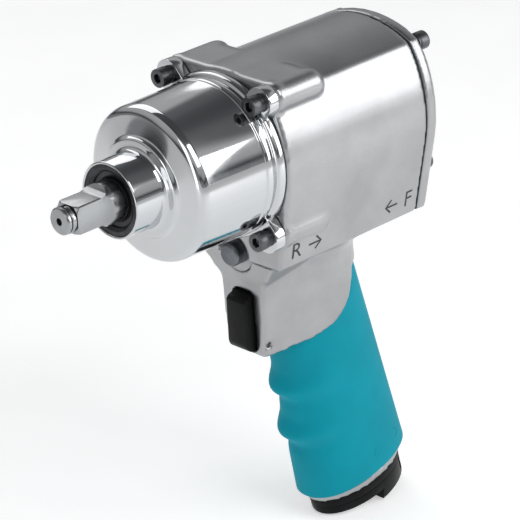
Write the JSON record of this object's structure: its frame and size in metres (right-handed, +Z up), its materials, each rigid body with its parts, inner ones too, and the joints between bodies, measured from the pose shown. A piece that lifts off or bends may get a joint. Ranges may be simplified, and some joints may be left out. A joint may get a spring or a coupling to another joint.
{
  "type": "impact wrench",
  "caption": "Pneumatic pistol impact wrench with a half inch square drive, twin hammer mechanism, vane air motor, trigger valve, reversing plunger and rubber grip.",
  "frame": {"origin": "centre of the square drive's front face, on the spindle axis", "axes": "+X back along the spindle, +Z up, the handle leans back as it goes down"},
  "size_m": [0.1982, 0.0756, 0.2365],
  "materials": {
    "polished_case": "polished bright metal",
    "satin_casting": "satin bead-blasted cast aluminium",
    "teal_rubber": "matte moulded rubber",
    "black_screw": "black oxide",
    "black_plastic": "fine matte",
    "bright_steel": "ground steel",
    "dark_steel": "hardened steel, as ground",
    "bronze": "sintered bronze",
    "black_rubber": "matte seal rubber",
    "gasket": "pressed fibre gasket",
    "machined_iron": "honed iron",
    "vane_resin": "fibre resin",
    "spring_steel": "drawn wire",
    "silencer": "sintered felt",
    "nose_black": "dark seal retainer"
  },
  "bodies": {
    "housing": {"hammer_case": "polished_case", "nose_seal": "nose_black", "anvil_bushing": "bronze", "thrust_washer": "bright_steel", "case_gasket": "gasket", "case_screws": "black_screw", "case_spring_washers": "black_screw", "motor_housing": "satin_casting", "front_end_plate": "machined_iron", "front_bearing": "bright_steel", "air_cylinder": "machined_iron", "cylinder_dowel": "bright_steel", "rear_end_plate": "machined_iron", "rear_bearing": "bright_steel", "rear_gasket": "gasket", "rear_cover": "satin_casting", "rear_screws": "black_screw", "rear_spring_washers": "black_screw", "reverse_bushing": "bright_steel", "detent_ball": "bright_steel", "detent_spring": "spring_steel", "trigger_pin": "black_screw", "throttle_bushing": "bronze", "valve_seat": "bronze", "throttle_spring": "spring_steel", "grip": "teal_rubber", "inlet_bushing": "bright_steel", "inlet_screen": "bright_steel", "inlet_seal": "black_rubber", "exhaust_silencer": "silencer", "base_gasket": "black_rubber", "exhaust_deflector": "black_plastic"},
    "drive": {"anvil": "bright_steel", "socket_ring": "bright_steel", "ring_cushion": "black_rubber"},
    "motor": {"rotor": "dark_steel", "rotor_vanes": "vane_resin", "hammer_cage": "dark_steel", "hammer_pins": "bright_steel", "front_bearing_race": "bright_steel", "rear_bearing_race": "bright_steel"},
    "reverser": {"reverse_spool": "bright_steel", "reverse_front_button": "dark_steel", "reverse_rear_button": "black_plastic", "spool_seals": "black_rubber"},
    "front_hammer": {"front_hammer": "dark_steel"},
    "rear_hammer": {"rear_hammer": "dark_steel"},
    "trigger": {"trigger": "black_plastic"},
    "throttle_pin": {"throttle_pin": "bright_steel"},
    "throttle_valve": {"throttle_valve": "bright_steel"}
  },
  "joints": [
    {"name": "motor_spin", "type": "hinge", "parent": "housing", "child": "motor", "pos_m": [0.1, 0, 0], "axis": [1, 0, 0], "continuous": true},
    {"name": "drive_spin", "type": "hinge", "parent": "housing", "child": "drive", "pos_m": [0.04, 0, 0], "axis": [1, 0, 0], "continuous": true},
    {"name": "front_hammer_rock", "type": "hinge", "parent": "motor", "child": "front_hammer", "pos_m": [0.0675, 0, 0.0245], "axis": [1, 0, 0], "range_deg": [-5, 5]},
    {"name": "rear_hammer_rock", "type": "hinge", "parent": "motor", "child": "rear_hammer", "pos_m": [0.0823, 0, -0.0245], "axis": [1, 0, 0], "range_deg": [-5, 5]},
    {"name": "trigger_pull", "type": "hinge", "parent": "housing", "child": "trigger", "pos_m": [0.1057, 0, -0.0928], "axis": [0, 1, 0], "range_deg": [0, 10], "stiffness_Nm_per_rad": 0.8, "springref_deg": -8.59},
    {"name": "throttle_slide", "type": "slide", "parent": "housing", "child": "throttle_pin", "axis": [1, 0, 0], "range_m": [0, 0.0034]},
    {"name": "valve_tip", "type": "hinge", "parent": "housing", "child": "throttle_valve", "pos_m": [0.13148, 0, -0.11116], "axis": [0, 1, 0], "range_deg": [0, 5.2], "deforming": ["throttle_spring"]},
    {"name": "reverse_slide", "type": "slide", "parent": "housing", "child": "reverser", "axis": [1, 0, 0], "range_m": [0, 0.007]}
  ],
  "couplings": [
    {"joint": "drive_spin", "follows": "motor_spin", "ratio": 1},
    {"joint": "throttle_slide", "follows": "trigger_pull", "m_per_rad": 0.0189},
    {"joint": "valve_tip", "follows": "trigger_pull", "ratio": 0.5}
  ]
}
